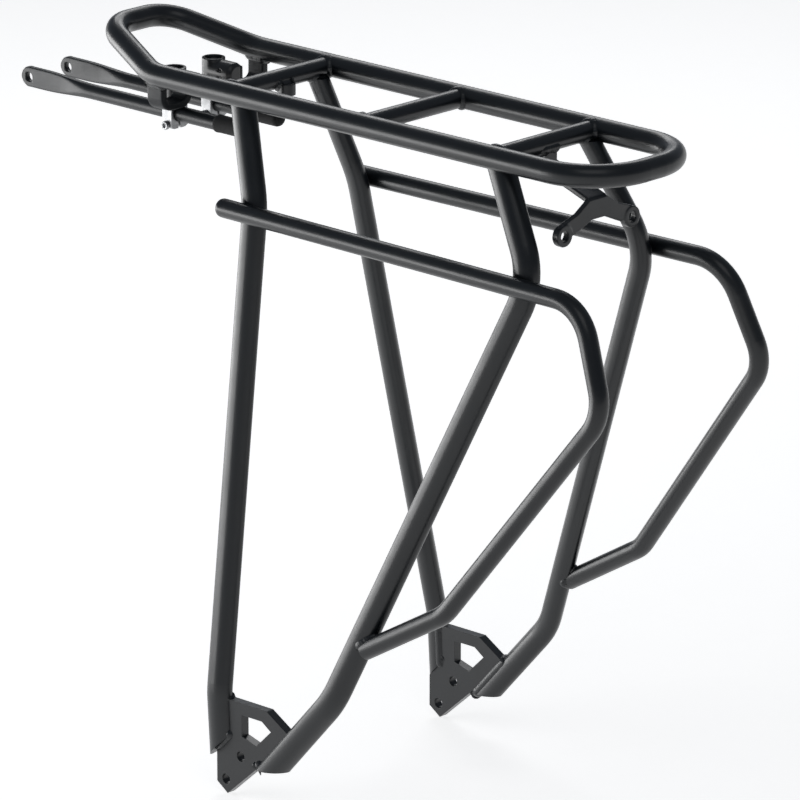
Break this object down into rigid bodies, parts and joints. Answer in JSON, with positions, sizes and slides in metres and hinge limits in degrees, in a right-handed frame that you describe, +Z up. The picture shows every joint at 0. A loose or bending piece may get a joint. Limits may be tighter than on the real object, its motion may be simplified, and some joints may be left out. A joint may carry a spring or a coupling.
{
  "type": "bicycle rear rack",
  "caption": "Black tubular steel rear carrier for a bicycle, with a looped deck, side rails for bags, eyelet plates, a rear light bracket and sliding, swivelling front stays.",
  "frame": {"origin": "midway between the two lower mounting eyelets, on the axis through both holes", "axes": "+X points to the back of the bicycle, +Y to its right side, +Z up; the deck rails lie level"},
  "size_m": [0.455, 0.1748, 0.3774],
  "materials": {
    "frame_paint": "satin black powder coat",
    "stay_paint": "satin black powder coat",
    "knuckle_black": "satin black coating",
    "bolt_black": "black oxide",
    "stainless": "bright stainless steel",
    "cap_rubber": "matt black rubber"
  },
  "bodies": {
    "rack": {"deck_loop": "frame_paint", "front_crossbar": "frame_paint", "middle_crossbar": "frame_paint", "rear_crossbar": "frame_paint", "mudguard_boss": "frame_paint", "light_bracket": "frame_paint", "light_bracket_block": "frame_paint", "left_front_leg": "frame_paint", "left_rear_leg": "frame_paint", "left_side_rail": "frame_paint", "left_dropout_plate": "frame_paint", "left_stay_hanger": "frame_paint", "left_knuckle": "knuckle_black", "left_knuckle_bolt": "bolt_black", "right_front_leg": "frame_paint", "right_rear_leg": "frame_paint", "right_side_rail": "frame_paint", "right_dropout_plate": "frame_paint", "right_stay_hanger": "frame_paint", "right_knuckle": "knuckle_black", "right_knuckle_bolt": "bolt_black"},
    "left_clamp": {"left_eye_bolt": "stainless", "left_cup_nut": "stainless", "left_pinch_screw": "stainless", "left_pinch_nut": "stainless"},
    "left_stay_body": {"left_stay": "stay_paint", "left_end_cap": "cap_rubber"},
    "right_clamp": {"right_eye_bolt": "stainless", "right_cup_nut": "stainless", "right_pinch_screw": "stainless", "right_pinch_nut": "stainless"},
    "right_stay_body": {"right_stay": "stay_paint", "right_end_cap": "cap_rubber"}
  },
  "joints": [
    {"name": "left_clamp_swivel", "type": "hinge", "parent": "rack", "child": "left_clamp", "pos_m": [-0.1018, -0.0143, 0.3236], "axis": [0, 0, 1], "range_deg": [-4.8, 4.8]},
    {"name": "left_stay_slide", "type": "slide", "parent": "left_clamp", "child": "left_stay_body", "axis": [1, 0, 0], "range_m": [-0.027, 0.055]},
    {"name": "right_clamp_swivel", "type": "hinge", "parent": "rack", "child": "right_clamp", "pos_m": [-0.1018, 0.0143, 0.3236], "axis": [0, 0, 1], "range_deg": [-4.8, 4.8]},
    {"name": "right_stay_slide", "type": "slide", "parent": "right_clamp", "child": "right_stay_body", "axis": [1, 0, 0], "range_m": [-0.027, 0.055]}
  ]
}
